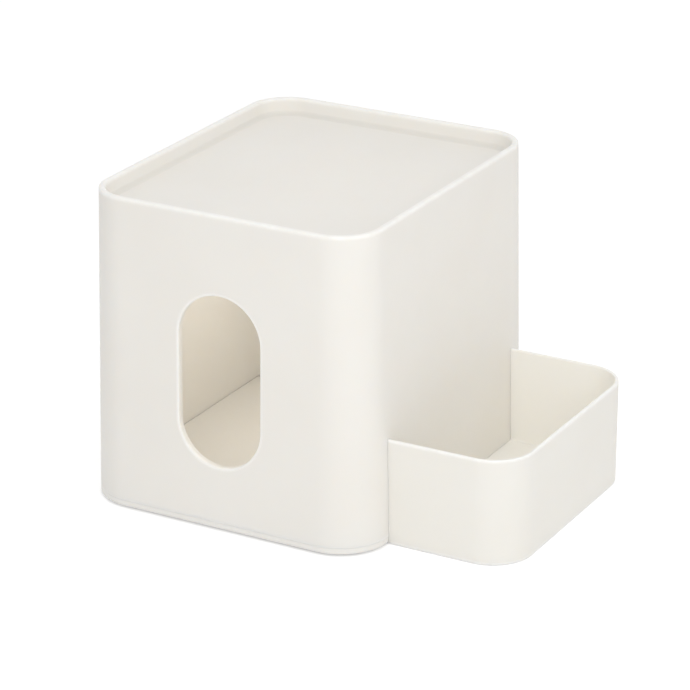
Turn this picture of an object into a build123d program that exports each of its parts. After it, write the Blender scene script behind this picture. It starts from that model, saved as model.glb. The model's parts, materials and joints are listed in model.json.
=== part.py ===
from build123d import *
from math import radians, tan
import os

# Tissue box with a pull-out side drawer. Millimetres, +Z up, +X towards the drawer and -Y the
# front. The origin is on the table, at the middle of the footprint with the drawer pulled out.
# Heights named here are measured from the underside of the base, and places along X from the
# middle of the body, unless a comment says otherwise.

# ---- Body: the lift-off cover and the base under it
rim_width = 124.8  # over the rim, left to right
rim_depth = 149.0  # over the rim, front to back
body_height = 131.0  # underside of the base to the rim
rim_corner_radius = 18.0
draft_angle = 1.2  # degrees: every outer wall leans out towards the table
cover_wall = 2.7
rim_round = 1.0
seam_round = 0.25
tray_depth = 7.4
tray_floor_thickness = 2.4
tray_floor_fillet = 2.2

# ---- Slot in the front wall that the tissues are pulled through
slot_width = 37.0
slot_height = 71.8
slot_centre_height = 62.1
slot_offset = 0.5  # from the middle of the front, towards the drawer
slot_edge_round = 0.6

# ---- Drawer: three walls and a floor, which slide round the side wall of the cover
drawer_set_in = 19.4  # its sides stand this far in from the front and back of the rim
drawer_reach = 54.0  # from the foot of the cover's side to the outer end
drawer_height = 44.5
drawer_drop = 0.9  # its walls run this far below the base, its floor doesn't
drawer_wall = 1.6
drawer_floor = 2.0
drawer_corner_radius = 17.6
drawer_floor_fillet = 0.8
drawer_rim_round = 0.6
drawer_foot_round = 0.5
drawer_travel = 35.0
side_gap = 0.3  # each face of a drawer side, in the slots of the cover and the base
rim_gap = 0.4  # over the drawer's rim, at the top of the cover's slots
floor_gap = 0.5  # over the drawer's floor, under the cover and the base's raised floor
wall_overlap = 1.7  # of the drawer's full-height sides, inside the cover's side wall

# ---- Low tail that stays inside, with a lug on each side that runs in a guide
tail_length = 13.0
tail_height = 9.0
lug_length = 8.0
lug_height = 4.0
lug_reach = 2.5
lug_gap = 0.15  # over and under a lug
lug_tip_gap = 0.4
stop_gap = 0.2  # between a lug and the stop at either end of its guide

# ---- Base
floor_step = 1.5  # the raised floor over the edge that shows under the cover
floor_thickness = 2.0
base_skirt = 4.0
base_foot_round = 0.5
base_rib = 1.6
base_rib_gap = 0.3  # the ribs stop short of the underside
cover_fit = 0.3  # between the cover's inner wall and what locates it
corner_tab_thickness = 1.6
corner_tab_height = 8.0
corner_tab_run = 4.0  # straight, to the middle of the front and back
corner_tab_gap = 2.6  # from a guide, along the sides

# ---- Guides screwed to the base, one along each side of the drawer
guide_wall = 2.0
guide_lip_gap = 0.4
guide_cover_gap = 0.5
guide_edge_round = 0.6
boss_radius = 3.4
boss_cap = 1.75  # over the end of a screw's hole
boss_bite = 1.2  # how far a boss runs into the guide's wall
boss_start = 10.0  # from the guide's inner end to its first screw
boss_spacing = 16.0

# ---- Self-tapping screws
screw_radius = 1.3
screw_length = 8.5  # under the head
screw_head_radius = 2.5
screw_head_height = 1.6
screw_head_round = 0.5
screw_head_sink = 0.3  # the head lies this deep in the underside
screw_hole_gap = 0.03
screw_hole_spare = 0.6  # depth of the blind hole beyond the screw's tip
screw_pass_gap = 0.2
screw_head_gap = 0.3
screw_seat_radius = 4.2
cross_length = 2.8
cross_width = 0.7
cross_depth = 1.0

# ---- Non-slip pads
pad_radius = 6.0
pad_thickness = 1.9
pad_proud = 1.1
pad_edge_round = 0.3
pad_seat_gap = 0.1
pad_seat_wall = 1.4
pad_set_in_x = 12.5  # from a side of the rim to the middle of a pad
pad_set_in_y = 10.5

# ---- Worked out from the sizes above
draft = tan(radians(draft_angle))
base_half_width = rim_width / 2 + body_height * draft
base_half_depth = rim_depth / 2 + body_height * draft
tray_height = body_height - tray_depth
ceiling_height = tray_height - tray_floor_thickness

seam_height = drawer_floor + floor_gap
floor_height = seam_height + floor_step
underside_depth = floor_height - floor_thickness

drawer_rim_height = drawer_height - drawer_drop
drawer_half = rim_depth / 2 - drawer_set_in
drawer_half_inside = drawer_half - drawer_wall
drawer_outer_x = base_half_width + drawer_reach
drawer_inner_x = base_half_width - cover_wall - wall_overlap
tail_x = drawer_inner_x - tail_length
lug_outer_x = tail_x + lug_length
bay_x = tail_x - drawer_travel - stop_gap

guide_x = bay_x - guide_wall
guide_lip_y = drawer_half + guide_lip_gap
channel_y = drawer_half + lug_reach + lug_tip_gap
guide_outer_y = channel_y + guide_wall
channel_height = lug_height + 2 * lug_gap
guide_height = channel_height + guide_wall
guide_top = floor_height + guide_height
boss_y = guide_outer_y + boss_radius - boss_bite

corner_tab_x = rim_width / 2 - rim_corner_radius - corner_tab_run
corner_tab_y = guide_outer_y + corner_tab_gap

screw_seat = screw_head_sink + screw_head_height
hole_depth = screw_seat + screw_length + screw_hole_spare - floor_height
boss_height = hole_depth + boss_cap

pad_sink = pad_thickness - pad_proud
pad_x = rim_width / 2 - pad_set_in_x
pad_y = rim_depth / 2 - pad_set_in_y

# The body's middle stands off the origin by half of what the open drawer adds.
body_x = -drawer_reach / 2
past = 10.0  # how far a cutting shape runs beyond what it cuts


def level(height):
    """Level plane over the middle of the body, at a height above the base's underside."""
    return Plane(origin=(body_x, 0, pad_proud + height))


def body_outline(height, inset=0.0, mode=Mode.ADD):
    """Rounded outline of the drafted body at a height, pulled in by inset."""
    grow = (body_height - height) * draft - inset
    width = rim_width + 2 * grow
    depth = rim_depth + 2 * grow
    RectangleRounded(width, depth, rim_corner_radius + grow, mode=mode)


def area(x_low, x_high, y_low, y_high, mode=Mode.ADD):
    """Rectangle between two places along X and two along Y."""
    with Locations(((x_low + x_high) / 2, (y_low + y_high) / 2)):
        Rectangle(x_high - x_low, y_high - y_low, mode=mode)


def strip(x_low, x_high, half_width, mode=Mode.ADD):
    """Rectangle between two places along X, as wide to the front as to the back."""
    area(x_low, x_high, -half_width, half_width, mode)


def drawer_outline(inset=0.0, mode=Mode.ADD):
    """Outline of the drawer and its tail, pulled in by inset: round at the outer corners only."""
    x_outer = drawer_outer_x - inset
    radius = drawer_corner_radius - inset
    strip(tail_x, x_outer - radius, drawer_half - inset, mode)
    with Locations((x_outer - 2 * radius, 0)):
        RectangleRounded(4 * radius, 2 * (drawer_half - inset), radius, mode=mode)


def side_slots(x_low, x_high):
    """The two long gaps that the sides of the drawer slide in."""
    for side in (-1, 1):
        y_inside = side * (drawer_half_inside - side_gap)
        y_outside = side * (drawer_half + side_gap)
        area(x_low, x_high, min(y_inside, y_outside), max(y_inside, y_outside))


def level_face(part, height):
    """The level face of a part at a height above the base's underside."""
    at = pad_proud + height
    return part.faces().filter_by(Axis.Z).sort_by(lambda face: abs(face.center().Z - at))[0]


# ---- Cover: drafted shell, its top a tray inside a raised rim
with BuildPart() as cover:
    with BuildSketch(level(seam_height)):
        body_outline(seam_height)
    extrude(amount=body_height - seam_height, taper=draft_angle)
    fillet(level_face(cover, seam_height).edges(), seam_round)

    with BuildSketch(level(seam_height)):
        body_outline(seam_height, cover_wall)
    extrude(amount=ceiling_height - seam_height, taper=draft_angle, mode=Mode.SUBTRACT)

    with BuildSketch(level(tray_height)):
        body_outline(body_height, cover_wall + tray_depth * draft)
    extrude(amount=tray_depth, taper=-draft_angle, mode=Mode.SUBTRACT)
    fillet(level_face(cover, body_height).edges(), rim_round)
    fillet(level_face(cover, tray_height).edges(), tray_floor_fillet)

    # Round-ended slot through the front wall, its outer edge eased
    slot_plane = Plane(
        origin=(body_x + slot_offset, -base_half_depth - past, pad_proud + slot_centre_height),
        x_dir=(1, 0, 0),
        z_dir=(0, -1, 0),
    )
    with BuildSketch(slot_plane):
        SlotOverall(slot_height, slot_width, rotation=90)
    extrude(amount=-(2 * past + cover_wall), mode=Mode.SUBTRACT)
    holed_faces = cover.faces().filter_by(lambda face: len(face.inner_wires()) == 1)
    front_face = holed_faces.sort_by(Axis.Y)[0]
    fillet(front_face.inner_wires()[0].edges(), slot_edge_round)

    # Two slots in the side wall, open below, so that the cover lifts off over the drawer
    with BuildSketch(level(0)):
        side_slots(base_half_width - past, base_half_width + past)
    extrude(amount=drawer_rim_height + rim_gap, mode=Mode.SUBTRACT)

cover.part.label = "cover"


# ---- Base plate: edge, raised floor, and the bay underneath that the drawer slides into
pad_places = [(side * pad_x, end * pad_y) for end in (-1, 1) for side in (-1, 1)]
screw_places = [
    (guide_x + boss_start + step * boss_spacing, end * boss_y)
    for end in (-1, 1)
    for step in (0, 1)
]

with BuildPart() as base_plate:
    with BuildSketch(level(0)):
        body_outline(0)
    extrude(amount=seam_height, taper=draft_angle)
    fillet(level_face(base_plate, seam_height).edges(), seam_round)
    fillet(level_face(base_plate, 0).edges(), base_foot_round)

    with BuildSketch(level(seam_height)):
        body_outline(seam_height, cover_wall + cover_fit)
    extrude(amount=floor_step, taper=draft_angle)

    # Hollow underside, with a skirt round the edge and round the bay
    with BuildSketch(level(0)):
        body_outline(0, base_skirt)
        strip(bay_x - base_skirt, base_half_width, drawer_half + base_skirt, Mode.SUBTRACT)
    extrude(amount=underside_depth, mode=Mode.SUBTRACT)

    with BuildSketch(level(base_rib_gap)):
        ribbed_length = bay_x + base_half_width - base_skirt
        with Locations((bay_x - ribbed_length / 2, 0)):
            with GridLocations(0, rim_depth / 3, 1, 2):
                Rectangle(ribbed_length, base_rib)
            with GridLocations(ribbed_length / 3, 0, 2, 1):
                Rectangle(base_rib, 2 * (base_half_depth - base_skirt / 2))
    extrude(amount=underside_depth - base_rib_gap)

    # Rings that seat the pads, and thick spots for the screw heads
    with BuildSketch(level(0)):
        with Locations(*pad_places):
            Circle(pad_radius + pad_seat_gap + pad_seat_wall)
        with Locations(*screw_places):
            Circle(screw_seat_radius)
    extrude(amount=underside_depth)
    with BuildSketch(level(0)):
        with Locations(*pad_places):
            Circle(pad_radius + pad_seat_gap)
    extrude(amount=pad_sink, mode=Mode.SUBTRACT)
    with BuildSketch(level(0)):
        with Locations(*screw_places):
            Circle(screw_head_radius + screw_head_gap)
    extrude(amount=screw_seat, mode=Mode.SUBTRACT)
    with BuildSketch(level(0)):
        with Locations(*screw_places):
            Circle(screw_radius + screw_pass_gap)
    extrude(amount=floor_height, mode=Mode.SUBTRACT)

    # Bay under the raised floor for the drawer's floor, and slots up through it for its sides
    with BuildSketch(level(0)):
        strip(bay_x, base_half_width + past, drawer_half + side_gap)
    extrude(amount=seam_height, mode=Mode.SUBTRACT)
    with BuildSketch(level(0)):
        side_slots(bay_x, base_half_width + past)
    extrude(amount=floor_height, mode=Mode.SUBTRACT)

    # Upright tabs that the corners of the cover drop over
    tab_top = floor_height + corner_tab_height
    tab_inset = cover_wall + cover_fit
    with BuildSketch(level(floor_height)):
        body_outline(tab_top, tab_inset)
        body_outline(tab_top, tab_inset + corner_tab_thickness, Mode.SUBTRACT)
        strip(-base_half_width, base_half_width, corner_tab_y, Mode.SUBTRACT)
        strip(-corner_tab_x, corner_tab_x, base_half_depth, Mode.SUBTRACT)
    extrude(amount=corner_tab_height)

base_plate.part.label = "base_plate"


# ---- Drawer
with BuildPart() as drawer:
    with BuildSketch(level(-drawer_drop)):
        drawer_outline()
        drawer_outline(drawer_wall, Mode.SUBTRACT)
    extrude(amount=drawer_height)
    with BuildSketch(level(0)):
        drawer_outline(drawer_wall / 2)
    extrude(amount=drawer_floor)

    # The part that stays inside has low sides
    with BuildSketch(level(tail_height)):
        strip(tail_x, drawer_inner_x, drawer_half)
    extrude(amount=drawer_height, mode=Mode.SUBTRACT)

    fillet(level_face(drawer, drawer_rim_height).edges().sort_by(Axis.X)[2:], drawer_rim_round)
    fillet(level_face(drawer, drawer_floor).edges().sort_by(Axis.X)[1:], drawer_floor_fillet)
    fillet(level_face(drawer, -drawer_drop).edges().sort_by(Axis.X)[2:], drawer_foot_round)

    with BuildSketch(level(floor_height + lug_gap)):
        strip(tail_x, lug_outer_x, drawer_half + lug_reach)
        strip(tail_x, lug_outer_x, drawer_half_inside, Mode.SUBTRACT)
    extrude(amount=lug_height)

drawer.part.label = "drawer"


def drawer_guide(end):
    """Channel over the lugs of one side of the drawer: end is -1 at the front, 1 at the back."""
    y_lip = end * guide_lip_y
    y_outer = end * guide_outer_y
    y_channel = end * channel_y
    places = [(x, y) for x, y in screw_places if y * end > 0]
    with BuildPart() as guide:
        with BuildSketch(level(floor_height)):
            area(guide_x, base_half_width, min(y_lip, y_outer), max(y_lip, y_outer))
            body_outline(guide_top, cover_wall + guide_cover_gap, Mode.INTERSECT)
        extrude(amount=guide_height)
        fillet(level_face(guide, guide_top).edges(), guide_edge_round)

        with BuildSketch(level(floor_height)):
            area(bay_x, lug_outer_x + stop_gap, min(0, y_channel), max(0, y_channel))
        extrude(amount=channel_height, mode=Mode.SUBTRACT)

        with BuildSketch(level(floor_height)):
            with Locations(*places):
                Circle(boss_radius)
            strip(guide_x, base_half_width, guide_outer_y - boss_bite / 2, Mode.SUBTRACT)
        extrude(amount=boss_height)
        with BuildSketch(level(floor_height)):
            with Locations(*places):
                Circle(screw_radius + screw_hole_gap)
        extrude(amount=hole_depth, mode=Mode.SUBTRACT)
    return guide.part


def foot_pad(x, y):
    """Round soft pad, its top in the seat under the base and its foot on the table."""
    with BuildPart() as pad:
        with BuildSketch(level(-pad_proud)):
            with Locations((x, y)):
                Circle(pad_radius)
        extrude(amount=pad_thickness)
        fillet(level_face(pad, -pad_proud).edges(), pad_edge_round)
    return pad.part


def guide_screw(x, y):
    """Pan-head screw, driven up through the base into a boss of a guide."""
    with BuildPart() as screw:
        with BuildSketch(level(screw_head_sink)):
            with Locations((x, y)):
                Circle(screw_head_radius)
        extrude(amount=screw_head_height)
        fillet(level_face(screw, screw_head_sink).edges(), screw_head_round)
        with BuildSketch(level(screw_head_sink)):
            with Locations((x, y)):
                Rectangle(cross_length, cross_width)
                Rectangle(cross_width, cross_length)
        extrude(amount=cross_depth, mode=Mode.SUBTRACT)
        with BuildSketch(level(screw_seat)):
            with Locations((x, y)):
                Circle(screw_radius)
        extrude(amount=screw_length)
    return screw.part


pieces = [cover.part, base_plate.part, drawer.part]

for end, name in ((-1, "front"), (1, "back")):
    guide = drawer_guide(end)
    guide.label = f"drawer_guide_{name}"
    pieces.append(guide)

corner_names = ("front_left", "front_right", "back_left", "back_right")
for corner, pad_place, screw_place in zip(corner_names, pad_places, screw_places):
    pad = foot_pad(*pad_place)
    pad.label = f"foot_pad_{corner}"
    screw = guide_screw(*screw_place)
    screw.label = f"guide_screw_{corner}"
    pieces += [pad, screw]

os.makedirs("parts", exist_ok=True)
for piece in pieces:
    export_step(piece, f"parts/{piece.label}.step")
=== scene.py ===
import json
from math import cos, radians, sin, tan

import bmesh
import bpy
import numpy as np
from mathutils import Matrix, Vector


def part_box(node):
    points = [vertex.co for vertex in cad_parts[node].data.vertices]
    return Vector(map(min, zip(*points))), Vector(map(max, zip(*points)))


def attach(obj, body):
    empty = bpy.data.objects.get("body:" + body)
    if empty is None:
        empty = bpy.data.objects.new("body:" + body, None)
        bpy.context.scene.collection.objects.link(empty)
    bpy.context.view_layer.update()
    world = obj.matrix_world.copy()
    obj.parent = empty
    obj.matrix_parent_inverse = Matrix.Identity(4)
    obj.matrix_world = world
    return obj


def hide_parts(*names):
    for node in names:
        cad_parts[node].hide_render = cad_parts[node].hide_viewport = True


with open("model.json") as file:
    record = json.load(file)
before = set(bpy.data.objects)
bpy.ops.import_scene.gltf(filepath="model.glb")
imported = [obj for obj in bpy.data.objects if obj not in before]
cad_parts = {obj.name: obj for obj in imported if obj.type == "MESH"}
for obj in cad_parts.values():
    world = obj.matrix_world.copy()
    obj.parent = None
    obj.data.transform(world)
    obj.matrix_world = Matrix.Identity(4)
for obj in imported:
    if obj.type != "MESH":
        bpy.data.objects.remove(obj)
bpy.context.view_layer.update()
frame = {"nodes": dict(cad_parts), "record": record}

# Ivory tissue box with a pull-out side drawer. The cover and the drawer are worked out here as
# exact smooth surfaces; the other pieces are the frame's own, joined and shaded smooth.
#
# Lengths are millimetres until a mesh is made. Heights are from the underside of the base, and
# places along X from the middle of the body.
MM = 0.001

# ---- Cover
RIM_WIDTH = 124.8
RIM_DEPTH = 149.0
BODY_HEIGHT = 131.0
RIM_CORNER_RADIUS = 18.0
DRAFT_ANGLE = radians(1.2)
COVER_WALL = 2.7
RIM_ROUND = 1.0
SEAM_HEIGHT = 2.5
SEAM_ROUND = 0.05
TRAY_DEPTH = 7.4
TRAY_FLOOR_THICKNESS = 2.4
TRAY_FLOOR_FILLET = 2.2

# ---- Slot in the front wall
SLOT_WIDTH = 37.0
SLOT_HEIGHT = 71.8
SLOT_CENTRE_HEIGHT = 62.1
SLOT_OFFSET = 0.5
SLOT_EDGE_ROUND = 0.6
SLOT_MARGIN = 2.0  # from the slot's sides to the block of wall that is laid out round it
SLOT_RING_DEPTH = 1.5  # of the ring of points inside the slot, below the wall's face

# ---- Drawer
DRAWER_HALF = 55.1
DRAWER_OUTER_X = 119.144
DRAWER_INNER_X = 60.744
TAIL_X = 47.744
DRAWER_RIM_HEIGHT = 43.6
DRAWER_DROP = 0.9
DRAWER_WALL = 1.6
DRAWER_FLOOR = 2.4
DRAWER_CORNER_RADIUS = 17.6
DRAWER_FLOOR_FILLET = 0.8
DRAWER_RIM_ROUND = 0.6
DRAWER_FOOT_ROUND = 0.5
# The gaps, the drawer's floor and the cover's lower edge are drawn tighter than the source has
# them, so that the seams show as faintly as they do on the real box
SIDE_GAP = 0.05
RIM_GAP = 0.08
TAIL_HEIGHT = 9.0
LUG_LENGTH = 8.0
LUG_LOW, LUG_HIGH = 4.15, 8.15
LUG_REACH = 2.5

# ---- Smoothness of the surfaces
CORNER_STEPS = 24
ROUND_STEPS = 6
SLOT_STEPS = 12
SLOT_SIDE_STEPS = 4
SEAM_STEPS = 3
FOOT_STEPS = 4
SOFT_EDGE = 0.9  # how far rubbing and the painted highlight at an edge fade into the flat beside it
SAME_PLACE = 0.0037  # points closer than about this are one
JOIN_DISTANCE = 2e-6  # metres, between the corners of a CAD node's triangles
SHARP_ANGLE = radians(50)
FLAT_WEIGHT = 100

# ---- Finish of the mouldings: sizes and depths in millimetres
CLOUD_SIZE = 38.0
SPECK_SIZE = 5.0
GRAIN_SIZE = 0.5
WAVE_SIZE = 30.0
WAVE_DEPTH = 0.12
GRAIN_DEPTH = 0.008
CLOUD_RANGE = (0.35, 0.7)  # of the noise, over which clouds come in
SPECK_RANGE = (0.3, 0.7)  # of the noise, over which specks come in
# least share of the edges' rubbing and painted highlight, where specks are few
LEAST_RUBBING_AND_HIGHLIGHT = 0.55
ROUGHNESS_SPREAD = 0.04
RUBBED_POLISH = 0.1
PLASTIC_IOR = 1.47

# Plain and clouded ivory, a paler one for the edges from rubbing and a painted highlight, and a
# fourth: painted shade along the foot of the body's tray, and painted light on the inside of the
# drawer, standing for light that comes through its thin walls
BODY_IVORY = (
    (0.847, 0.828, 0.788, 1.0),
    (0.837, 0.815, 0.770, 1.0),
    (0.920, 0.905, 0.870, 1.0),
    (0.760, 0.740, 0.690, 1.0),
)
DRAWER_IVORY = (
    (0.856, 0.836, 0.789, 1.0),
    (0.848, 0.824, 0.771, 1.0),
    (0.960, 0.945, 0.910, 1.0),
    (0.985, 0.955, 0.885, 1.0),
)
IVORY_ROUGHNESS = 0.5

# ---- Light
LIGHT_SHARE = 0.35  # of the light that goes into the ivory plastic and comes out again near by
COVER_LIGHT = 2.5  # millimetres that it goes into the cover
DRAWER_LIGHT = 3.0  # and into the drawer's thinner walls
BASE_LIGHT = 1.5  # and into the base, over its dark underside
SURROUND_LEVEL = 0.757
SOFTBOX_POWER = 2.2
SOFTBOX_AZIMUTH = radians(41)
SOFTBOX_ELEVATION = radians(38)
SOFTBOX_DISTANCE = 0.8  # metres
SOFTBOX_SIZE = 0.75
INNER_POWER = 0.073
INNER_HEIGHT = 84.0  # stays inside the cover when it is lifted off
INNER_BACK = 10.0  # behind the middle
INNER_RADIUS = 30.0
INNER_COLOUR = (1.0, 0.96, 0.90)
FLOOR_REACH = 4.0  # metres
FLOOR_GLOW = 0.35
FLOOR_COLOUR = (0.87, 0.87, 0.87, 1.0)

# ---- Camera, in metres
VIEW_TARGET = Vector((-0.016815, 0.008263, 0.051797))
VIEW_AZIMUTH = radians(29.003)
VIEW_ELEVATION = radians(21.843)
VIEW_DISTANCE = 1.293306
VIEW_LENS = 163.49  # millimetres, before a sensor as wide as SENSOR_WIDTH
SENSOR_WIDTH = 36.0

# ---- Worked out
LEAN = tan(DRAFT_ANGLE)
TRAY_HEIGHT = BODY_HEIGHT - TRAY_DEPTH
CEILING_HEIGHT = TRAY_HEIGHT - TRAY_FLOOR_THICKNESS
SIDE_SLOT_TOP = DRAWER_RIM_HEIGHT + RIM_GAP
cover_low, cover_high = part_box("cover")
base_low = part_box("base_plate")[0]
BODY_X = (cover_low[0] + cover_high[0]) / 2 / MM
BASE_Z = base_low[2] / MM

UP = np.array([0.0, 1.0])
DOWN = -UP
OUTWARD = np.array([cos(DRAFT_ANGLE), sin(DRAFT_ANGLE)])
TRAYWARD = np.array([-cos(DRAFT_ANGLE), sin(DRAFT_ANGLE)])
LEVEL_OUT = np.array([1.0, 0.0])


# ---- Surfaces
class Skin:
    """Faces with the exact normal at each of their corners, gathered into one closed mesh."""

    def __init__(self):
        self.points, self.normals, self.marks, self.sides = [], [], [], []

    def add(self, points, normals, marks, faces):
        """Faces of equal size, each turned so that it looks the way its normals point."""
        corners = points[faces]
        step = np.linalg.norm(corners - np.roll(corners, 1, axis=1), axis=2)
        faces = faces[(step > SAME_PLACE).all(axis=1)]
        corners = points[faces]
        facing = np.cross(corners[:, 2] - corners[:, 0], corners[:, -1] - corners[:, 1])
        backward = (facing * normals[faces].sum(axis=1)).sum(axis=1) < 0
        faces[backward] = faces[backward][:, ::-1]
        self.points.append(points[faces].reshape(-1, 3))
        self.normals.append(normals[faces].reshape(-1, 3))
        self.marks.append(marks[faces].reshape(-1, 2))
        self.sides.append(np.full(len(faces), faces.shape[1]))

    def grid(self, points, normals, marks, keep=None):
        """Rows and columns of points; a face joins four neighbours unless keep leaves it out."""
        rows, columns = points.shape[:2]
        index = np.arange(rows * columns).reshape(rows, columns)
        faces = np.stack(
            [index[:-1, :-1], index[:-1, 1:], index[1:, 1:], index[1:, :-1]], axis=-1
        )
        faces = faces.reshape(-1, 4) if keep is None else faces[keep]
        self.add(points.reshape(-1, 3), normals.reshape(-1, 3), marks.reshape(-1, 2), faces)

    def plate(self, points, normal, marks=(0.0, 0.0)):
        """One flat face through points that go round it, all marked alike."""
        points = np.asarray(points, float)
        step = np.linalg.norm(points - np.roll(points, 1, axis=0), axis=1)
        points = points[step > SAME_PLACE]
        after = np.roll(points, -1, axis=0)
        area = np.cross(points, after).sum(axis=0)
        if area @ np.asarray(normal, float) < 0:
            points = points[::-1]
        self.points.append(points)
        self.normals.append(np.broadcast_to(np.asarray(normal, float), points.shape))
        self.marks.append(np.broadcast_to(np.asarray(marks, float), (len(points), 2)))
        self.sides.append(np.array([len(points)]))

    def block(self, low, high):
        """Box between two corners, as six flat faces."""
        low, high = np.asarray(low, float), np.asarray(high, float)
        for axis in range(3):
            first, second = [other for other in range(3) if other != axis]
            for end in (low, high):
                ring = np.tile(end, (4, 1))
                ring[:, first] = [low[first], high[first], high[first], low[first]]
                ring[:, second] = [low[second], low[second], high[second], high[second]]
                normal = np.zeros(3)
                normal[axis] = 1.0 if end is high else -1.0
                self.plate(ring, normal)

    def mesh(self, name):
        """Joins corners that share a place and keeps each corner's own normal."""
        places = np.concatenate(self.points) + [BODY_X, 0.0, BASE_Z]
        normals = np.concatenate(self.normals)
        normals /= np.linalg.norm(normals, axis=1, keepdims=True)
        marks = np.concatenate(self.marks)
        sides = np.concatenate(self.sides)
        keys = np.round(places / SAME_PLACE).astype(np.int64)
        first, vertex = np.unique(keys, axis=0, return_index=True, return_inverse=True)[1:]
        vertex = vertex.reshape(-1)
        vertex_marks = np.zeros((len(first), 2))
        np.maximum.at(vertex_marks, vertex, marks)
        mesh = bpy.data.meshes.new(name)
        mesh.vertices.add(len(first))
        mesh.vertices.foreach_set("co", (places[first] * MM).ravel())
        mesh.loops.add(len(vertex))
        mesh.loops.foreach_set("vertex_index", vertex)
        mesh.polygons.add(len(sides))
        mesh.polygons.foreach_set("loop_start", np.cumsum(sides) - sides)
        mesh.update(calc_edges=True)
        mesh.shade_smooth()
        mesh.normals_split_custom_set(normals)
        # marks on each point: rubbing with a painted highlight, and painted shading
        for label, values in zip(("edge_rubbing_and_highlight", "painted_shading"), vertex_marks.T):
            mark = mesh.attributes.new(label, "FLOAT", "POINT")
            mark.data.foreach_set("value", np.ascontiguousarray(values))
        return mesh


def rounded(corner, start, end, radius, hollow=False, tone=0.0, steps=ROUND_STEPS):
    """Rows of a profile round a corner: growth, height, the normal's two parts, rubbing with a
    painted highlight, and painted shading.

    The normal turns evenly from start to end. A row's point is one radius along its normal from
    the centre of the round, or one radius back from it in a hollow. The centre lies off the
    corner by the radius times (start + end) / (1 + start . end). An outward round carries full
    rubbing and painted highlight, a hollow none. The painted shading rises and falls over the
    round as half a sine.
    """
    side = -1.0 if hollow else 1.0
    centre = np.asarray(corner, float) - side * radius * (start + end) / (1 + start @ end)
    first = np.arctan2(start[1], start[0])
    turn = np.arctan2(start[0] * end[1] - start[1] * end[0], start @ end)
    share = np.linspace(0, 1, steps + 1)
    angles = first + turn * share
    normals = np.column_stack([np.cos(angles), np.sin(angles)])
    rubbing_highlight_rows = np.full(steps + 1, 0.0 if hollow else 1.0)
    toned = tone * np.sin(np.pi * share)
    return np.column_stack([centre + side * radius * normals, normals, rubbing_highlight_rows, toned])


def straight(begin, finish, normal, stops=()):
    """Rows of a profile from one row's place to another's, at equal normals, by way of heights.

    Points between are on the straight line, at the heights given in stops. A short step after
    the beginning and before the end lets rubbing and its painted highlight fade there.
    """
    begin, finish = np.asarray(begin, float)[:2], np.asarray(finish, float)[:2]
    length = np.linalg.norm(finish - begin)
    share = [0.0, SOFT_EDGE / length, 1 - SOFT_EDGE / length, 1.0]
    share += [(stop - begin[1]) / (finish[1] - begin[1]) for stop in stops]
    share = np.unique(np.round(share, 12))
    places = begin + share[:, None] * (finish - begin)
    return np.column_stack(
        [places, np.broadcast_to(normal, places.shape), np.zeros(places.shape)]
    )


def carried(profile, centres, headings):
    """Surface of a profile carried along an outline.

    Column u and row v are at centre(u) + growth(v) * heading(u) along the ground and height(v)
    up, with the normal's level part along heading(u).
    """
    growth, height, out, up = profile.T[:4]
    shape = (len(profile), len(centres))
    points = np.empty((*shape, 3))
    points[..., :2] = centres + growth[:, None, None] * headings
    points[..., 2] = height[:, None]
    normals = np.empty((*shape, 3))
    normals[..., :2] = out[:, None, None] * headings
    normals[..., 2] = up[:, None]
    return points, normals, np.broadcast_to(profile[:, None, 4:], (*shape, 2))


def outline(half_x, half_y, sides):
    """Centres and headings round a rounded rectangle, from the left end of the front.

    half_x and half_y reach to the corners' centres. Along a side the centre moves through the
    stops that sides gives for it and the heading stays; round a corner the centre stays and the
    heading turns a quarter.
    """
    quarter = np.linspace(0, np.pi / 2, CORNER_STEPS + 1)[1:-1]
    centres, headings = [], []
    corners = [(half_x, -half_y), (half_x, half_y), (-half_x, half_y), (-half_x, -half_y)]
    for turn, (corner, stops) in enumerate(zip(corners, sides)):
        angle = (turn - 1) * np.pi / 2
        heading = np.round([np.cos(angle), np.sin(angle)])
        along = np.abs(heading[::-1])
        reach = abs(along @ np.array(corner))
        sense = np.sign(along @ np.array(corner))
        stops = np.unique(np.concatenate([[-reach, reach], stops]))[:: int(sense)]
        line = np.abs(heading) * corner + stops[:, None] * along
        centres += [line, np.tile(corner, (len(quarter), 1))]
        headings.append(np.tile(heading, (len(stops), 1)))
        headings.append(np.column_stack([np.cos(angle + quarter), np.sin(angle + quarter)]))
    return np.concatenate(centres), np.concatenate(headings)


def lean_out(height, inset=0.0):
    """How far the drafted wall stands outside the rim's outline at a height, less an inset."""
    return (BODY_HEIGHT - height) * LEAN - inset


def cells_between(values, low, high):
    """True for each step of a row of values whose middle lies between low and high."""
    middle = (values[:-1] + values[1:]) / 2
    return (middle > low) & (middle < high)


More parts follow.
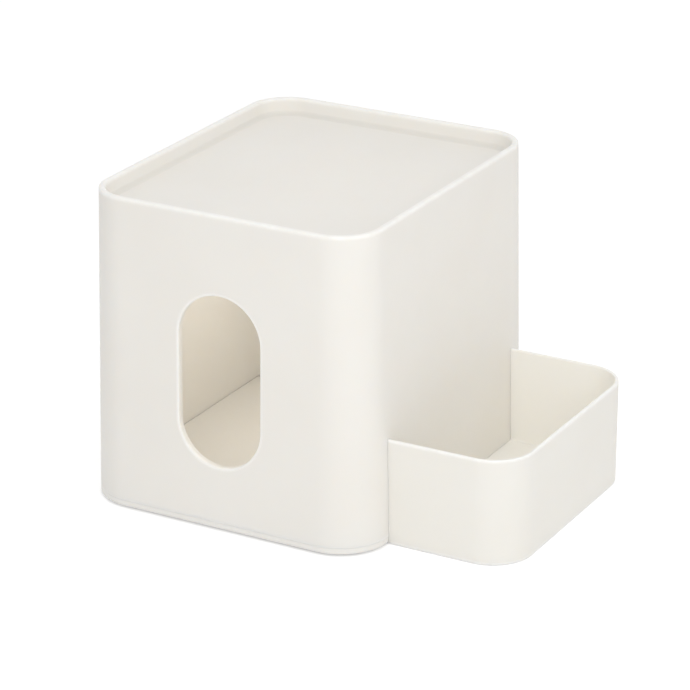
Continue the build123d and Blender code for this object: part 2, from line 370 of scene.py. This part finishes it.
def cover_mesh():
    """Cover: one profile from the tray's floor over the rim, down the wall and up inside."""
    half_x = RIM_WIDTH / 2 - RIM_CORNER_RADIUS
    half_y = RIM_DEPTH / 2 - RIM_CORNER_RADIUS

    # The front wall has a block of its own round the slot, with stops that part the slot's
    # round ends evenly
    straight_half = (SLOT_HEIGHT - SLOT_WIDTH) / 2
    block_half = SLOT_WIDTH / 2 + SLOT_MARGIN
    fan = block_half * np.tan(np.linspace(0, np.pi / 4, SLOT_STEPS + 1))
    block_x = SLOT_OFFSET + np.concatenate([-fan[::-1], fan[1:]])
    beside = np.linspace(-straight_half, straight_half, SLOT_SIDE_STEPS + 1)
    block_z = SLOT_CENTRE_HEIGHT + np.concatenate(
        [-straight_half - fan[:0:-1], beside, straight_half + fan[1:]]
    )
    stops_z = np.concatenate([block_z, [SIDE_SLOT_TOP]])
    inner_y = DRAWER_HALF - DRAWER_WALL - SIDE_GAP
    outer_y = DRAWER_HALF + SIDE_GAP
    side_y = np.array([-outer_y, -inner_y, inner_y, outer_y])
    centres, headings = outline(half_x, half_y, [block_x, side_y, [], []])
    closed = np.append(np.arange(len(centres)), 0)
    centres, headings = centres[closed], headings[closed]

    def corner(height, inset=0.0):
        return np.array([RIM_CORNER_RADIUS + lean_out(height, inset), height])

    tray_foot = np.array(
        [RIM_CORNER_RADIUS - COVER_WALL - TRAY_DEPTH * LEAN, TRAY_HEIGHT]
    )
    # painted shade in the hollow round at the foot of the tray
    tray_round = rounded(tray_foot, UP, TRAYWARD, TRAY_FLOOR_FILLET, hollow=True, tone=1.0)
    rim_inner = rounded(corner(BODY_HEIGHT, COVER_WALL), TRAYWARD, UP, RIM_ROUND)
    rim_outer = rounded(corner(BODY_HEIGHT), UP, OUTWARD, RIM_ROUND)
    top = np.vstack(
        [tray_round, straight(tray_round[-1], rim_inner[0], TRAYWARD), rim_inner, rim_outer]
    )
    seam = rounded(corner(SEAM_HEIGHT), OUTWARD, DOWN, SEAM_ROUND, steps=SEAM_STEPS)
    inner_foot = corner(SEAM_HEIGHT, COVER_WALL)
    lip = np.vstack([seam, [*inner_foot, *DOWN, 0.0, 0.0]])
    outside = straight(rim_outer[-1], seam[0], OUTWARD, stops_z)
    inside = straight(inner_foot, corner(CEILING_HEIGHT, COVER_WALL), -OUTWARD, stops_z)

    front = headings[:-1, 1] < -0.999
    right = headings[:-1, 0] > 0.999
    low_x, high_x = block_x[0], block_x[-1]
    low_z, high_z = block_z[0], block_z[-1]
    in_block = front & cells_between(centres[:, 0], low_x, high_x)
    in_slots = right & (
        cells_between(centres[:, 1], -outer_y, -inner_y)
        | cells_between(centres[:, 1], inner_y, outer_y)
    )

    skin = Skin()
    skin.grid(*carried(top, centres, headings))
    for wall in (outside, inside):
        block_rows = cells_between(wall[:, 1], low_z, high_z)
        slot_rows = cells_between(wall[:, 1], 0.0, SIDE_SLOT_TOP)
        cut = (block_rows[:, None] & in_block) | (slot_rows[:, None] & in_slots)
        skin.grid(*carried(wall, centres, headings), ~cut)
    lip_cells = np.ones((len(lip) - 1, len(centres) - 1), bool) & ~in_slots
    skin.grid(*carried(lip, centres, headings), lip_cells)

    for row, normal in ((tray_round[:1], UP), (inside[-1:], DOWN)):
        points = carried(row, centres[:-1], headings[:-1])[0][0]
        skin.plate(points, (0, 0, normal[1]))

    # Edges of the two side slots
    below = np.vstack([outside[outside[:, 1] < SIDE_SLOT_TOP + 1e-6], lip[1:]])
    above = inside[inside[:, 1] < SIDE_SLOT_TOP + 1e-6][1:]
    section = np.vstack([below, above])
    for y, normal_y in zip(side_y, (1, -1, 1, -1)):
        face = np.column_stack([half_x + section[:, 0], np.full(len(section), y), section[:, 1]])
        skin.plate(face, (0, normal_y, 0))
    for y_pair in (side_y[:2], side_y[2:]):
        insets = (0.0, COVER_WALL)
        outer_x, inner_x = [half_x + corner(SIDE_SLOT_TOP, inset)[0] for inset in insets]
        low_y, high_y = y_pair
        ring = [(outer_x, low_y), (outer_x, high_y), (inner_x, high_y), (inner_x, low_y)]
        face = [(x, y, SIDE_SLOT_TOP) for x, y in ring]
        skin.plate(face, (0, 0, -1))

    # The slot: rings from the block's border in to the eased edge, through the wall and out
    # again inside. Each ring's point lies off the slot's middle line along its own direction.
    border_z = np.sort(stops_z[(stops_z > low_z - 1e-6) & (stops_z < high_z + 1e-6)])
    border = np.concatenate(
        [
            np.column_stack([block_x, np.full(len(block_x), low_z)]),
            np.column_stack([np.full(len(border_z), high_x), border_z])[1:],
            np.column_stack([block_x, np.full(len(block_x), high_z)])[::-1][1:],
            np.column_stack([np.full(len(border_z), low_x), border_z])[::-1][1:],
        ]
    )
    middle = np.column_stack(
        [
            np.full(len(border), SLOT_OFFSET),
            SLOT_CENTRE_HEIGHT
            + np.clip(border[:, 1] - SLOT_CENTRE_HEIGHT, -straight_half, straight_half),
        ]
    )
    reach = border - middle
    away = reach / np.linalg.norm(reach, axis=1, keepdims=True)
    ease = np.linspace(0, np.pi / 2, ROUND_STEPS + 1)
    fade = np.array([SLOT_EDGE_ROUND + SOFT_EDGE])
    offset = np.concatenate([fade, SLOT_EDGE_ROUND * (1 - np.sin(ease)), [0.0, 0.0]])
    through = [SLOT_RING_DEPTH, COVER_WALL]
    depth = np.concatenate([[0.0], SLOT_EDGE_ROUND * (1 - np.cos(ease)), through])
    marks = np.zeros((len(offset), len(border), 2))
    # the slot's eased edge gets rubbing and a painted highlight
    marks[1:-2, :, 0] = 1.0
    places = middle + (SLOT_WIDTH / 2 + offset)[:, None, None] * away
    y = -(RIM_DEPTH / 2 + lean_out(places[..., 1])) + depth[:, None]
    points = np.stack([places[..., 0], y, places[..., 1]], axis=-1)
    facing = np.array([0.0, -OUTWARD[0], OUTWARD[1]])
    inward = np.column_stack([-away[:, 0], np.zeros(len(away)), -away[:, 1]])
    tilt = np.concatenate([[0.0], ease, [np.pi / 2, np.pi / 2]])
    normals = (
        np.cos(tilt)[:, None, None] * facing + np.sin(tilt)[:, None, None] * inward
    )
    skin.grid(points, normals, marks)
    for inset, ring, normal in ((0.0, points[0], facing), (COVER_WALL, points[-1], -facing)):
        edge_y = -(RIM_DEPTH / 2 + lean_out(border[:, 1], inset))
        edge = np.column_stack([border[:, 0], edge_y, border[:, 1]])
        pair = np.stack([edge, ring])
        skin.grid(pair, np.broadcast_to(normal, pair.shape), np.zeros((*pair.shape[:2], 2)))
    return skin.mesh("cover_shell")


def drawer_mesh():
    """Drawer: one profile from the hollow under its floor, round the foot and over the rim."""
    half_y = DRAWER_HALF - DRAWER_CORNER_RADIUS
    half_x = DRAWER_OUTER_X - DRAWER_CORNER_RADIUS
    side_stops = [TAIL_X, DRAWER_INNER_X]
    centres, headings = outline(half_x, half_y, [side_stops, [], side_stops, []])
    shown = centres[:, 0] > TAIL_X - SAME_PLACE
    centres, headings = centres[shown], headings[shown]

    outer = DRAWER_CORNER_RADIUS
    inner = outer - DRAWER_WALL
    foot_round = DRAWER_FOOT_ROUND
    inner_foot = rounded((inner, -DRAWER_DROP), -LEVEL_OUT, DOWN, foot_round, steps=FOOT_STEPS)
    outer_foot = rounded((outer, -DRAWER_DROP), DOWN, LEVEL_OUT, foot_round, steps=FOOT_STEPS)
    outer_rim = rounded((outer, DRAWER_RIM_HEIGHT), LEVEL_OUT, UP, DRAWER_RIM_ROUND)
    inner_rim = rounded((inner, DRAWER_RIM_HEIGHT), UP, -LEVEL_OUT, DRAWER_RIM_ROUND)
    floor_foot = (inner, DRAWER_FLOOR)
    floor_round = rounded(floor_foot, -LEVEL_OUT, UP, DRAWER_FLOOR_FILLET, hollow=True)
    # painted light on the drawer's inside: rising over the inner rim round, full on the floor
    # round
    inner_rim[:, -1] = np.linspace(0, 1, len(inner_rim))
    floor_round[:, -1] = 1.0
    under = [[inner, 0.0, *-LEVEL_OUT, 0.0, 0.0]]
    foot = np.vstack([under, inner_foot, outer_foot])
    outside = straight(outer_foot[-1], outer_rim[0], LEVEL_OUT, [TAIL_HEIGHT])
    rim = np.vstack([outer_rim, inner_rim])
    inside = straight(inner_rim[-1], floor_round[0], -LEVEL_OUT, [TAIL_HEIGHT])
    # painted light on the drawer's inner wall
    inside[:, -1] = 1.0

    full_height = cells_between(centres[:, 0], DRAWER_INNER_X, DRAWER_OUTER_X)
    skin = Skin()
    skin.grid(*carried(foot, centres, headings))
    skin.grid(*carried(floor_round, centres, headings))
    for wall in (outside, inside):
        low = cells_between(wall[:, 1], -DRAWER_DROP, TAIL_HEIGHT)
        skin.grid(*carried(wall, centres, headings), low[:, None] | full_height)
    skin.grid(
        *carried(rim, centres, headings), np.ones((len(rim) - 1, 1), bool) & full_height
    )

    for row, up in ((foot[:1], -1), (floor_round[-1:], 1)):
        skin.plate(carried(row, centres, headings)[0][0], (0, 0, up), row[0, -2:])

    section = np.vstack([foot, outside[outside[:, 1] < TAIL_HEIGHT + 1e-6]])
    section = np.vstack([section, inside[inside[:, 1] < TAIL_HEIGHT + 1e-6], floor_round])
    upper = np.vstack([outside[outside[:, 1] > TAIL_HEIGHT - 1e-6], rim])
    upper = np.vstack([upper, inside[inside[:, 1] > TAIL_HEIGHT - 1e-6]])
    ends = []
    for side in (-1, 1):
        across = side * (half_y + section[:, 0])
        ends.append(np.column_stack([np.full(len(section), TAIL_X), across, section[:, 1]]))
        across = side * (half_y + upper[:, 0])
        mouth = np.column_stack([np.full(len(upper), DRAWER_INNER_X), across, upper[:, 1]])
        skin.plate(mouth, (-1, 0, 0))
        y_out, y_in = side * DRAWER_HALF, side * (DRAWER_HALF - DRAWER_WALL)
        front_x = DRAWER_INNER_X
        step = [(TAIL_X, y_out), (front_x, y_out), (front_x, y_in), (TAIL_X, y_in)]
        skin.plate([(x, y, TAIL_HEIGHT) for x, y in step], (0, 0, 1))
        y_lug = side * (DRAWER_HALF + LUG_REACH)
        skin.block(
            (TAIL_X, min(y_lug, y_out), LUG_LOW),
            (TAIL_X + LUG_LENGTH, max(y_lug, y_out), LUG_HIGH),
        )
    skin.plate(np.vstack([ends[0], ends[1][::-1]]), (-1, 0, 0))
    return skin.mesh("drawer_tub")


def smooth_copy(node_name, piece_name):
    """A CAD node's own shape with its triangles joined, rounds shaded smooth and flats flat."""
    mesh = frame["nodes"][node_name].data.copy()
    mesh.name = piece_name
    joined = bmesh.new()
    joined.from_mesh(mesh)
    bmesh.ops.remove_doubles(joined, verts=joined.verts, dist=JOIN_DISTANCE)
    joined.to_mesh(mesh)
    joined.free()
    mesh.shade_smooth()
    mesh.set_sharp_from_angle(angle=SHARP_ANGLE)
    return mesh


# ---- Finishes
def effect(name, inputs, outputs):
    """An empty shader group with named sockets, and its input and output nodes."""
    group = bpy.data.node_groups.new(name, "ShaderNodeTree")
    for label, kind, value in inputs:
        socket = group.interface.new_socket(label, in_out="INPUT", socket_type=kind)
        socket.default_value = value
    for label, kind in outputs:
        group.interface.new_socket(label, in_out="OUTPUT", socket_type=kind)
    return group, group.nodes.new("NodeGroupInput"), group.nodes.new("NodeGroupOutput")


def noise(group, coordinates, size, detail=2.0, roughness=0.5):
    """Noise whose blotches are about size millimetres across."""
    node = group.nodes.new("ShaderNodeTexNoise")
    node.inputs["Scale"].default_value = 1 / (size * MM)
    node.inputs["Detail"].default_value = detail
    node.inputs["Roughness"].default_value = roughness
    group.links.new(coordinates, node.inputs["Vector"])
    return node.outputs["Fac"]


def spread(group, value, low, high, to_low, to_high):
    """A value's range from low to high, stretched to another range and held at its ends."""
    node = group.nodes.new("ShaderNodeMapRange")
    node.inputs["From Min"].default_value = low
    node.inputs["From Max"].default_value = high
    node.inputs["To Min"].default_value = to_low
    node.inputs["To Max"].default_value = to_high
    group.links.new(value, node.inputs["Value"])
    return node.outputs["Result"]


def combine(group, operation, first, second):
    """Math on two sockets, or on a socket and a number."""
    node = group.nodes.new("ShaderNodeMath")
    node.operation = operation
    for value, socket in zip((first, second), node.inputs):
        if isinstance(value, (int, float)):
            socket.default_value = value
        else:
            group.links.new(value, socket)
    return node.outputs[0]


def blend_colours(group, share, first, second, how="MIX"):
    """Two colours blended by a share that changes over the surface."""
    node = group.nodes.new("ShaderNodeMix")
    node.data_type = "RGBA"
    node.blend_type = how
    for value, place in ((share, 0), (first, 6), (second, 7)):
        socket = node.inputs[place]
        if isinstance(value, bpy.types.NodeSocket):
            group.links.new(value, socket)
        else:
            socket.default_value = value
    return node.outputs[2]


def raise_surface(group, height, distance, below=None):
    """Bump of a height, distance millimetres deep, on top of another bump."""
    node = group.nodes.new("ShaderNodeBump")
    node.inputs["Distance"].default_value = distance * MM
    group.links.new(height, node.inputs["Height"])
    if below is not None:
        group.links.new(below, node.inputs["Normal"])
    return node.outputs["Normal"]


def moulded_skin():
    """Skin of a moulding: faint clouds, a satin grain, slow waves, paler edges that are rubbing
    and a painted highlight, and a painted shading colour.
    """
    group, given, result = effect(
        "moulded_skin",
        [
            ("Colour", "NodeSocketColor", (0.8, 0.8, 0.8, 1.0)),
            ("Cloud Colour", "NodeSocketColor", (0.7, 0.7, 0.7, 1.0)),
            ("Rubbing Highlight Colour", "NodeSocketColor", (0.9, 0.9, 0.9, 1.0)),
            ("Painted Shading Colour", "NodeSocketColor", (0.6, 0.6, 0.6, 1.0)),
            ("Roughness", "NodeSocketFloat", 0.4),
            ("Grain", "NodeSocketFloat", 1.0),
        ],
        [
            ("Colour", "NodeSocketColor"),
            ("Roughness", "NodeSocketFloat"),
            ("Normal", "NodeSocketVector"),
        ],
    )
    place = group.nodes.new("ShaderNodeTexCoord").outputs["Object"]
    clouds = noise(group, place, CLOUD_SIZE, 3.0)
    specks = noise(group, place, SPECK_SIZE, 2.0)
    grain = noise(group, place, GRAIN_SIZE, 2.0)
    waves = noise(group, place, WAVE_SIZE, 1.0)
    # rubbing on the edges, which also paints a highlight there
    rubbing_and_highlight = group.nodes.new("ShaderNodeAttribute")
    rubbing_and_highlight.attribute_name = "edge_rubbing_and_highlight"
    patchy = spread(group, specks, *SPECK_RANGE, LEAST_RUBBING_AND_HIGHLIGHT, 1.0)
    broken = combine(group, "MULTIPLY", rubbing_and_highlight.outputs["Fac"], patchy)

    cloud_share = spread(group, clouds, *CLOUD_RANGE, 0.0, 1.0)
    plain, cloudy = given.outputs["Colour"], given.outputs["Cloud Colour"]
    colour = blend_colours(group, cloud_share, plain, cloudy)
    # paler edges: rubbing and a painted highlight
    colour = blend_colours(group, broken, colour, given.outputs["Rubbing Highlight Colour"])
    # painted shading: shade at the tray's foot, light on the drawer's inside
    tone = group.nodes.new("ShaderNodeAttribute")
    tone.attribute_name = "painted_shading"
    colour = blend_colours(group, tone.outputs["Fac"], colour, given.outputs["Painted Shading Colour"])
    group.links.new(colour, result.inputs["Colour"])

    uneven = spread(group, specks, *SPECK_RANGE, -ROUGHNESS_SPREAD, ROUGHNESS_SPREAD)
    satin = combine(group, "ADD", given.outputs["Roughness"], uneven)
    polish = combine(group, "MULTIPLY", broken, RUBBED_POLISH)
    group.links.new(combine(group, "SUBTRACT", satin, polish), result.inputs["Roughness"])

    pitted = combine(group, "MULTIPLY", grain, given.outputs["Grain"])
    waved = raise_surface(group, waves, WAVE_DEPTH)
    group.links.new(raise_surface(group, pitted, GRAIN_DEPTH, waved), result.inputs["Normal"])
    return group


MOULDED_SKIN = moulded_skin()


def finish_with(name, group, values, constants):
    """A material: one effect group feeds the plain shader; its other sockets are constants."""
    material = bpy.data.materials.new(name)
    material.use_nodes = True
    tree = material.node_tree
    shader = tree.nodes["Principled BSDF"]
    for label, value in constants.items():
        shader.inputs[label].default_value = value
    node = tree.nodes.new("ShaderNodeGroup")
    node.node_tree = group
    for label, value in values.items():
        node.inputs[label].default_value = value
    fed = {"Colour": "Base Color", "Roughness": "Roughness", "Normal": "Normal"}
    for label, target in fed.items():
        tree.links.new(node.outputs[label], shader.inputs[target])
    return material


def ivory_plastic(name, depth, colours):
    """Satin ivory plastic that light goes some way into: depth is how far, in millimetres."""
    # second is the painted shading colour
    colour, cloud, rubbing_highlight_colour, second = colours
    return finish_with(
        name,
        MOULDED_SKIN,
        {
            "Colour": colour,
            "Cloud Colour": cloud,
            "Rubbing Highlight Colour": rubbing_highlight_colour,
            "Painted Shading Colour": second,
            "Roughness": IVORY_ROUGHNESS,
        },
        {
            "IOR": PLASTIC_IOR,
            "Subsurface Weight": LIGHT_SHARE,
            "Subsurface Radius": (1.0, 0.9, 0.75),
            "Subsurface Scale": depth * MM,
        },
    )


def plain_plastic():
    """Unpolished natural plastic of the guides."""
    return finish_with(
        "guide_plastic",
        MOULDED_SKIN,
        {
            "Colour": (0.88, 0.87, 0.84, 1.0),
            "Cloud Colour": (0.84, 0.83, 0.79, 1.0),
            "Rubbing Highlight Colour": (0.92, 0.91, 0.89, 1.0),
            "Roughness": 0.5,
            "Grain": 2.0,
        },
        {
            "IOR": PLASTIC_IOR,
            "Subsurface Weight": 0.5,
            "Subsurface Radius": (1.0, 0.9, 0.8),
            "Subsurface Scale": 2 * MM,
        },
    )


def soft_rubber():
    """Matte soft pad with a fine pitted foot."""
    return finish_with(
        "soft_pad",
        MOULDED_SKIN,
        {
            "Colour": (0.62, 0.62, 0.60, 1.0),
            "Cloud Colour": (0.56, 0.56, 0.54, 1.0),
            "Rubbing Highlight Colour": (0.66, 0.66, 0.64, 1.0),
            "Roughness": 0.78,
            "Grain": 5.0,
        },
        {"Specular IOR Level": 0.3},
    )


def plated_steel():
    """Zinc plate: bright, cloudy and finely grained."""
    return finish_with(
        "plated_screw",
        MOULDED_SKIN,
        {
            "Colour": (0.70, 0.70, 0.72, 1.0),
            "Cloud Colour": (0.62, 0.62, 0.63, 1.0),
            "Rubbing Highlight Colour": (0.75, 0.75, 0.76, 1.0),
            "Roughness": 0.33,
            "Grain": 1.5,
        },
        {"Metallic": 1.0},
    )


# ---- Pieces
def place_piece(mesh, node_name, material):
    """Stands a finished mesh in for a CAD node, on the node's own body."""
    piece = bpy.data.objects.new(mesh.name, mesh)
    bpy.context.scene.collection.objects.link(piece)
    mesh.materials.clear()
    mesh.materials.append(material)
    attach(piece, BODY_OF[node_name])
    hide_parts(node_name)
    return piece


def weigh_by_area(piece):
    """Lets large flat faces keep their own normals beside small rounds."""
    weighted = piece.modifiers.new("flats_stay_flat", "WEIGHTED_NORMAL")
    weighted.mode = "FACE_AREA"
    weighted.weight = FLAT_WEIGHT
    weighted.keep_sharp = True


record = frame["record"]
bodies = record["behaviour"]["bodies"].items()
BODY_OF = {node: body for body, nodes in bodies for node in nodes}
SLOT_OF = {part["node"]: part["material_slot"] for part in record["subparts"]}

place_piece(cover_mesh(), "cover", ivory_plastic("ivory_plastic", COVER_LIGHT, BODY_IVORY))
drawer_ivory = ivory_plastic("ivory_plastic_drawer", DRAWER_LIGHT, DRAWER_IVORY)
place_piece(drawer_mesh(), "drawer", drawer_ivory)
base_ivory = ivory_plastic("ivory_plastic_base", BASE_LIGHT, BODY_IVORY)
weigh_by_area(place_piece(smooth_copy("base_plate", "base_tray"), "base_plate", base_ivory))

small_finishes = {
    "guide_plastic": plain_plastic(),
    "soft_pad": soft_rubber(),
    "plated_screw": plated_steel(),
}
for node_name, slot_name in SLOT_OF.items():
    if slot_name in small_finishes:
        mesh = smooth_copy(node_name, f"{node_name}_smooth")
        weigh_by_area(place_piece(mesh, node_name, small_finishes[slot_name]))


# ---- Studio: a pale floor, an even white surround, one soft box, and a camera
def shown_white(tree):
    """One for what is seen directly, in a reflection or through a clear piece, else nought."""
    paths = tree.nodes.new("ShaderNodeLightPath").outputs
    seen = combine(tree, "MAXIMUM", paths["Is Camera Ray"], paths["Is Glossy Ray"])
    return combine(tree, "MAXIMUM", seen, paths["Is Transmission Ray"])


def studio_floor():
    """A large pale floor that takes the shadow and is seen as white."""
    mesh = bpy.data.meshes.new("studio_floor")
    corners = FLOOR_REACH * np.array([[-1, -1, 0], [1, -1, 0], [1, 1, 0], [-1, 1, 0]])
    mesh.from_pydata(corners.tolist(), [], [(0, 1, 2, 3)])
    floor = bpy.data.objects.new("studio_floor", mesh)
    bpy.context.scene.collection.objects.link(floor)
    material = bpy.data.materials.new("studio_floor")
    material.use_nodes = True
    tree = material.node_tree
    shader = tree.nodes["Principled BSDF"]
    shader.inputs["Base Color"].default_value = FLOOR_COLOUR
    shader.inputs["Roughness"].default_value = 0.9
    shader.inputs["Specular IOR Level"].default_value = 0.1
    glow = tree.nodes.new("ShaderNodeEmission")
    glow_share = combine(tree, "MULTIPLY", shown_white(tree), FLOOR_GLOW)
    tree.links.new(glow_share, glow.inputs["Strength"])
    both = tree.nodes.new("ShaderNodeAddShader")
    tree.links.new(shader.outputs[0], both.inputs[0])
    tree.links.new(glow.outputs[0], both.inputs[1])
    tree.links.new(both.outputs[0], tree.nodes["Material Output"].inputs["Surface"])
    mesh.materials.append(material)


def away_from(azimuth, elevation):
    """Direction from the object: azimuth 0 is the front and 90 the drawer's side."""
    return Vector(
        (sin(azimuth) * cos(elevation), -cos(azimuth) * cos(elevation), sin(elevation))
    )


def aim(data, name, azimuth, elevation, distance):
    """Stands a lamp or camera round the object at a distance, looking at its middle."""
    thing = bpy.data.objects.new(name, data)
    direction = away_from(azimuth, elevation)
    thing.location = VIEW_TARGET + direction * distance
    thing.rotation_euler = direction.to_track_quat("Z", "Y").to_euler()
    bpy.context.scene.collection.objects.link(thing)
    return thing


studio_floor()
surround = bpy.data.worlds.new("studio_surround")
bpy.context.scene.world = surround
surround.use_nodes = True
backdrop = surround.node_tree.nodes["Background"].inputs
backdrop["Color"].default_value = (1, 1, 1, 1)
level = combine(
    surround.node_tree, "MAXIMUM", shown_white(surround.node_tree), SURROUND_LEVEL
)
surround.node_tree.links.new(level, backdrop["Strength"])

softbox = bpy.data.lights.new("softbox", "AREA")
softbox.size = SOFTBOX_SIZE
softbox.energy = SOFTBOX_POWER
aim(softbox, "softbox", SOFTBOX_AZIMUTH, SOFTBOX_ELEVATION, SOFTBOX_DISTANCE)

def glow_inside(name, place, power, radius):
    """A small unseen lamp that stands for the light which comes through the walls round it."""
    lamp = bpy.data.lights.new(name, "POINT")
    lamp.shadow_soft_size = radius
    lamp.energy = power
    lamp.color = INNER_COLOUR
    glow = bpy.data.objects.new(name, lamp)
    glow.location = place
    glow.visible_camera = False
    glow.visible_glossy = False
    bpy.context.scene.collection.objects.link(glow)


glow_place = Vector((BODY_X, INNER_BACK, INNER_HEIGHT)) * MM
glow_inside("body_glow", glow_place, INNER_POWER, INNER_RADIUS * MM)

lens = bpy.data.cameras.new("camera")
lens.sensor_width = SENSOR_WIDTH
lens.lens = VIEW_LENS
bpy.context.scene.camera = aim(lens, "camera", VIEW_AZIMUTH, VIEW_ELEVATION, VIEW_DISTANCE)
bpy.context.scene.view_settings.view_transform = "Standard"
